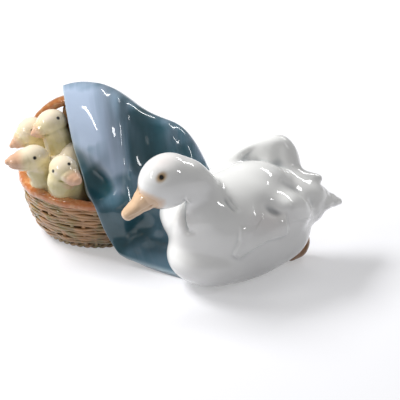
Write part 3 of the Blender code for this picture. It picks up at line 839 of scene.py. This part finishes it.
clothFolds = [
    # the soft folds that come down from the handle
    {"line": [(-57, 146), (-51, 124), (-44, 92)], "width": 9.0, "amount": 1.6},
    {"line": [(-45, 146), (-40, 122), (-36, 86)], "width": 4.0, "amount": -1.0},
    # its sharp border with the hollow beside it
    {"line": [(-38.5, 138), (-34.5, 110), (-31.5, 78)], "width": 2.4, "amount": 1.9},
    {"line": [(-33, 134), (-29, 108), (-26, 80)], "width": 3.6, "amount": -2.0},
    # the pocket above the rim, and the fold that hangs over it
    {"line": [(-69, 103), (-60, 97.5), (-53, 92), (-44, 82), (-36, 66)], "width": 4.2, "amount": 2.0},
    {"spot": (-51, 74), "size": (10, 10), "amount": -6.0},
    {"line": [(-61, 84), (-56, 66), (-50, 61)], "width": 3.6, "amount": 1.0},
    # the skirt: a crease, with a dark hollow over it
    {"ledge": [(-6, 48), (-20, 37), (-34, 27)], "amount": 2.4, "edge": 1.4, "fade": 9},
    {"spot": (-22, 46), "size": (10, 6), "turn": 38, "amount": -3.5},
    {"line": [(-42, 60), (-34, 48), (-31, 34)], "width": 3.0, "amount": 1.0},
    {"spot": (-3, 107), "size": (5, 9), "turn": -15, "amount": 1.6},
    {"line": [(0, 122), (6, 104), (10, 90)], "width": 3.0, "amount": -1.4},
]
# painted light: the faces, ridges and edges of the folds that turn to the light are painted paler
clothPale = [
    {"line": [(-72, 143), (-64, 118), (-56, 99)], "width": 8, "amount": 0.7},
    {"line": [(-78, 146), (-75, 126), (-69, 98)], "width": 7, "amount": 0.6},
    {"line": [(-74, 147), (-52, 147)], "width": 7, "amount": 0.4},
    {"line": [(-58, 143), (-48, 112), (-38, 78)], "width": 13, "amount": 0.75},
    {"line": [(-68, 101), (-58, 94), (-46, 84), (-34, 66)], "width": 4, "amount": 0.4},
    {"line": [(12, 110), (18, 104), (24, 90)], "width": 2.5, "amount": 0.7},
    {"spot": (-3, 107), "size": (4, 8), "turn": -15, "amount": 0.4},
    {"spot": (-4, 22), "size": (16, 7), "turn": 25, "amount": 0.15},
    {"line": [(-61, 72), (-52, 54), (-46, 38)], "width": 1.6, "amount": 0.6},
]
# painted shade: darker in the valleys between the folds, in and below the pocket, over the crease and along
# the hem near the ground
clothShade = [
    {"line": [(-26, 130), (-17, 110), (-13, 86)], "width": 10, "amount": 1.0},
    {"line": [(-8, 118), (-4, 92)], "width": 9, "amount": 0.6},
    {"line": [(6, 104), (12, 88)], "width": 5, "amount": 0.8},
    {"line": [(-62, 84), (-54, 75), (-44, 64)], "width": 12, "amount": 1.1},
    {"spot": (-23, 46), "size": (14, 11), "turn": 38, "amount": 1.0},
    {"line": [(-50, 58), (-44, 42), (-32, 25)], "width": 10, "amount": 0.75},
    {"line": [(-38, 62), (-20, 56)], "width": 9, "amount": 0.6},
    {"line": [(-44, 30), (-30, 17), (-10, 9), (10, 6)], "width": 2.5, "amount": 0.7},
]


def makeCloth():
    wide = len(clothRows[0])
    points = [at(*point) for row in clothRows for point in row]
    faces = []
    for i in range(len(clothRows) - 1):
        for k in range(wide - 1):
            faces.append((i * wide + k, (i + 1) * wide + k, (i + 1) * wide + k + 1, i * wide + k + 1))
    piece = pieceFromFaces("cloth", points, faces)
    store(piece.data, "across", [k / (wide - 1) for _ in clothRows for k in range(wide)])
    store(piece.data, "down", [i / (len(clothRows) - 1) for i in range(len(clothRows)) for _ in range(wide)])
    drape = piece.modifiers.new("drape", "SUBSURF")
    drape.levels = drape.render_levels = cloth["levels"]
    piece = workIn(piece)
    carve(piece, clothFolds)
    soft = piece.modifiers.new("soft", "SMOOTH")
    soft.factor = 0.5
    soft.iterations = cloth["soften"]
    piece = workIn(piece)
    markHollows(piece, 120, 3.0)
    # painted light on the lit faces and ridges
    store(piece.data, "pale", np.clip(strokes(piece, clothPale, False), 0, 1))
    # painted shade in the valleys, the pocket and over the crease
    store(piece.data, "paintedShade", np.clip(strokes(piece, clothShade, True), 0, 0.92))
    # a painted highlight along the sheet's borders and hem
    sheet = np.empty((2, len(piece.data.vertices)))
    piece.data.attributes["across"].data.foreach_get("value", sheet[0])
    piece.data.attributes["down"].data.foreach_get("value", sheet[1])
    border = np.minimum(sheet, 1 - sheet).min(axis=0)
    store(piece.data, "edge", 0.6 * (1 - smoothstep(0.004, cloth["paleBorder"], border)))
    seen = smoothstep(-0.2, 0.4, readMesh(piece.data)[1] @ towardEye)
    store(piece.data, "brushed", (0.12 + 0.14 * seen) * (1 - 0.75 * smoothstep(0.5, 0.72, sheet[1])))
    thick = piece.modifiers.new("thickness", "SOLIDIFY")
    thick.thickness = cloth["thickness"] * mm
    thick.offset = -1.0
    rounded = piece.modifiers.new("rounded", "BEVEL")
    rounded.width = 0.9 * mm
    rounded.segments = 3
    rounded.angle_limit = math.radians(50)
    piece = workIn(piece)
    trimGround(piece)
    return piece


# The ducklings

ducklings = {  # the bill: radii from root to tip, how wide it is for its height, and where the mouth runs
    "ducklingTop": {
        "head": (-85, 96, 82.5), "tip": (-98, 91, 77), "neck": (-79, 93, 66), "body": (-72, 92, 42),
        "eyes": [(-79.8, 120.4)], "bill": (6.6, 4.0, 1.8), "wide": 1.15, "mouth": -2.0,
    },
    "ducklingBack": {
        "head": (-100, 106, 71.5), "tip": (-113.5, 101, 63), "neck": (-92, 108, 60), "body": (-82, 112, 40),
        "eyes": [(-98.5, 111.9)], "bill": (6.6, 4.2, 2.0), "wide": 1.15, "mouth": -2.0,
    },
    "ducklingLeft": {
        "head": (-97, 76, 64.6), "tip": (-115, 70, 65.2), "neck": (-91, 78, 54), "body": (-84, 86, 36),
        "eyes": [(-95.9, 92.4)], "bill": (7.6, 5.4, 2.2), "wide": 1.25, "mouth": -2.6,
    },
    "ducklingFront": {
        "head": (-75.6, 62, 63), "tip": (-66, 49.5, 60.5), "neck": (-77, 63, 52), "body": (-72, 80, 36),
        "eyes": [(-84.6, 82.5), (-69.5, 90.5)], "bill": (6.2, 5.0, 3.4), "wide": 1.25, "mouth": -2.8,
    },
}


def makeDuckling(name, shape):
    head, tip, neck, body = (at(*shape[part]) for part in ("head", "tip", "neck", "body"))
    way = (tip - head).normalized()
    form = bmesh.new()
    addBall(form, head, (11.4, 10.0, 10.3), way)
    root = head + way * 7 * mm
    sideways = Vector((-way.y, way.x, 0))
    radii = shape["bill"]
    bridge = (root + tip) / 2 - Vector((0, 0, 0.5 * mm))
    addLimb(form, [(root, radii[0]), (bridge, radii[1]), (tip, radii[2])], shape["wide"], sideways)
    addLimb(form, [(head, 9), (neck, 10.5), (body, 16)])
    piece = melted(name, form, 0.5, 5)
    mesh = piece.data
    where, normal = readMesh(mesh)
    out = (where - np.array(head)) @ np.array(way) / mm
    away = np.linalg.norm(where - np.array(head) - np.outer(out * mm, np.array(way)), axis=1) / mm
    below = (where[:, 2] - head.z) / mm - out * way.z
    # the mouth line, low on the bill and back to the cheek
    mouth = np.exp(-(((below - shape["mouth"]) / 0.55) ** 2)) * smoothstep(5, 8, out) * (away < 12)
    where -= normal * (0.7 * mouth * mm)[:, None]
    writeMesh(mesh, where)
    markHollows(piece, 60, 1.2)
    store(mesh, "bill", smoothstep(7.0, 14.0, out) * (away < 9.5) * 0.95)
    height = (where[:, 2] - head.z) / mm
    # painted light: the crown is painted paler
    store(mesh, "pale", 0.7 * smoothstep(1, 9, height))
    # painted shade under the chin
    throat = smoothstep(-4, -9, height) * (1 - smoothstep(-13, -22, height))
    store(mesh, "throat", 0.45 * throat)
    eye = np.full(len(where), 99.0)
    level = Vector((way.x, way.y, 0))
    pairs = [eyeSpots(where, normal, seen, head, level) for seen in shape["eyes"]]
    spots = pairs[0] if len(pairs) == 1 else [pair[0] for pair in pairs]
    for spot in spots:
        eye = np.minimum(eye, np.linalg.norm(where - spot, axis=1) / mm)
    store(mesh, "eye", 1 - smoothstep(0.9, 1.6, eye))
    return piece


def makeNest():
    form = bmesh.new()
    addBall(form, at(-76, 104, 34), (26, 36, 20))
    addBall(form, at(-72, 88, 54), (11, 13, 18))
    addLimb(form, [(at(-76, 84, 58), 7), (at(-82, 80, 60), 5), (at(-86, 79, 62), 2.6)])  # a stub wing
    piece = melted("ducklingBodies", form, 1.0, 5)
    markHollows(piece, 40, 1.2)
    where, _ = readMesh(piece.data)
    # painted shade: the bodies are darker lower down in the basket and paler above
    store(piece.data, "pale", 0.6 * smoothstep(50, 66, where[:, 2] / mm))
    return piece


# Floor, light and camera

studio = {"world": 0.22, "distance": 2.5, "frameWidth": 0.28, "target": (19.6, 60, 40.5), "paperGlow": 0.36}
lamps = {  # place, width and height in metres, turn in degrees, watts, and whether the glaze mirrors it
    "keySoftbox": ((-0.95, 0.45, 1.1), (0.8, 0.5), 0, 28.0, False),
    "leftStrip": ((-1.17, -0.47, 0.79), (0.5, 0.1), -30, 2.8, True),
    "rightStrip": ((1.0, -0.52, 0.98), (0.12, 0.3), 0, 1.8, True),
    "backStrip": ((0.72, 0.87, 0.98), (0.6, 0.12), 0, 3.6, True),
}


def makeStage():
    form = bmesh.new()
    bmesh.ops.create_grid(form, x_segments=1, y_segments=1, size=6.0)
    mesh = bpy.data.meshes.new("floor")
    form.to_mesh(mesh)
    form.free()
    floor = newPiece("floor", mesh)
    paper = bpy.data.materials.new("whitePaperSweep")  # matt backdrop paper, so only soft shadow shows on it
    paper.use_nodes = True
    tree = paper.node_tree
    shader = tree.nodes["Principled BSDF"]
    shader.inputs["Base Color"].default_value = hexColour(glazes["floor"])
    shader.inputs["Roughness"].default_value = 0.9
    shader.inputs["Specular IOR Level"].default_value = 0.0
    # the paper looks nearly white, with a soft shadow, and lights the figurine no more for it
    path = addNode(tree, "ShaderNodeLightPath").outputs
    rays = {0: path["Is Camera Ray"], 1: path["Is Glossy Ray"]}
    seen = addNode(tree, "ShaderNodeMath", {"operation": "MAXIMUM"}, links=rays).outputs[0]
    times = {"operation": "MULTIPLY"}
    strength = addNode(tree, "ShaderNodeMath", times, {1: studio["paperGlow"]}, {0: seen}).outputs[0]
    glow = addNode(tree, "ShaderNodeEmission", links={"Strength": strength})
    added = addNode(tree, "ShaderNodeAddShader", links={0: shader.outputs[0], 1: glow.outputs[0]})
    tree.links.new(added.outputs[0], tree.nodes["Material Output"].inputs["Surface"])
    mesh.materials.append(paper)


def makeLight():
    world = bpy.data.worlds.new("studio")
    bpy.context.scene.world = world
    world.use_nodes = True
    world.node_tree.nodes["Background"].inputs["Color"].default_value = (1, 1, 1, 1)
    world.node_tree.nodes["Background"].inputs["Strength"].default_value = studio["world"]
    for name, (place, size, roll, power, mirrored) in lamps.items():
        lamp = bpy.data.lights.new(name, "AREA")
        lamp.shape = "RECTANGLE"
        lamp.size, lamp.size_y = size
        lamp.energy = power
        light = bpy.data.objects.new(name, lamp)
        light.location = place
        aim = (Vector((0, 0, 0.05)) - Vector(place)).to_track_quat("-Z", "Y").to_matrix()
        light.rotation_euler = (aim @ Matrix.Rotation(math.radians(roll), 3, "Z")).to_euler()
        light.visible_glossy = mirrored
        bpy.context.scene.collection.objects.link(light)


def makeCamera():
    camera = bpy.data.cameras.new("camera")
    camera.lens = camera.sensor_width * studio["distance"] / studio["frameWidth"]
    camera.clip_end = 20
    looker = bpy.data.objects.new("camera", camera)
    looker.location = at(*studio["target"]) - baseMiddle + Vector(towardEye) * studio["distance"]
    looker.rotation_euler = (-Vector(towardEye)).to_track_quat("-Z", "Y").to_euler()
    bpy.context.scene.collection.objects.link(looker)
    bpy.context.scene.camera = looker
    bpy.context.scene.view_settings.view_transform = "Standard"


print("duck")
duckBody = makeDuck()
duckBill = makeBill()
paintDuckHead(duckBody, duckBill)
fit(duckBody, whitePorcelain)
fit(duckBill, billPorcelain)
fit(makeFoot(), footPorcelain)
print("basket")
fit(makeBowl(), weavePorcelain)
fit(makeWeave(), weavePorcelain)
fit(makeRope(), weavePorcelain)
fit(makeRim(), rimPorcelain)
fit(makeHandle(), rimPorcelain)
fit(makeHandleLeg(), weavePorcelain)
print("cloth")
fit(makeCloth(), clothPorcelain)
print("ducklings")
for name, shape in ducklings.items():
    fit(makeDuckling(name, shape), downPorcelain)
fit(makeNest(), downPorcelain)
print("stage")
makeStage()
makeLight()
makeCamera()
